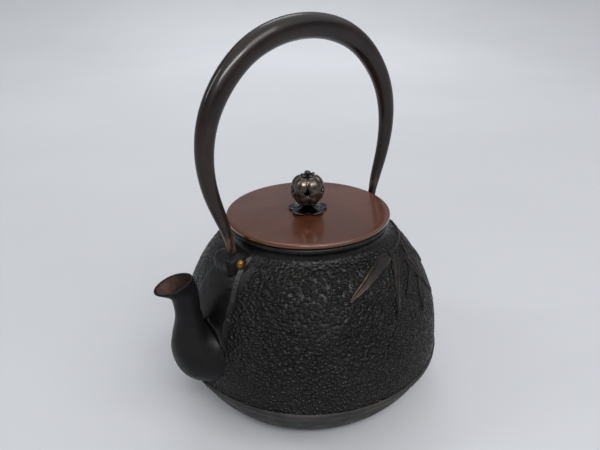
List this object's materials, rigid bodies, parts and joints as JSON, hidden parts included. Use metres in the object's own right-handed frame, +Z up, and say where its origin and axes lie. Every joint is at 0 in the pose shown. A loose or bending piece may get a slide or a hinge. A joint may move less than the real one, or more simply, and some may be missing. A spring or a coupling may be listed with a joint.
{
  "type": "cast iron teapot",
  "caption": "Round pebbled cast iron kettle with a leaf spray on its shoulder, a short upright spout, a tall fixed bail handle and a flat copper lid with a flower-shaped knob.",
  "frame": {"origin": "centre of the flat base, on the surface the kettle stands on", "axes": "+Z up; -X toward the spout, in the plane of the handle; +Y completes the right-handed frame, so the leaf spray is on the -Y side"},
  "size_m": [0.1794, 0.16, 0.2203],
  "materials": {
    "cast_iron": "pebbled, dark brown-black, satin",
    "lacquered_iron": "smooth, dark, semi-gloss lacquer",
    "copper": "polished dark copper",
    "bronze": "dark bronze, worn bright on the high places",
    "brass": "satin"
  },
  "bodies": {
    "kettle": {"kettle_shell": "cast_iron", "spout": "cast_iron", "front_lug": "cast_iron", "back_lug": "cast_iron", "handle_bow": "lacquered_iron", "handle_front_foot": "lacquered_iron", "handle_back_foot": "lacquered_iron", "front_pin": "brass", "back_pin": "brass"},
    "lid": {"lid_plate": "copper", "lid_collar": "copper", "knob_seat": "bronze"},
    "knob": {"knob_shell": "bronze", "knob_finial": "bronze", "knob_rivet": "brass", "knob_washer": "brass"}
  },
  "joints": [
    {"name": "lid_lift", "type": "slide", "parent": "kettle", "child": "lid", "axis": [0, 0, 1], "range_m": [0, 0.06]},
    {"name": "knob_spin", "type": "hinge", "parent": "lid", "child": "knob", "pos_m": [0, 0, 0.1249], "axis": [0, 0, 1], "continuous": true}
  ]
}
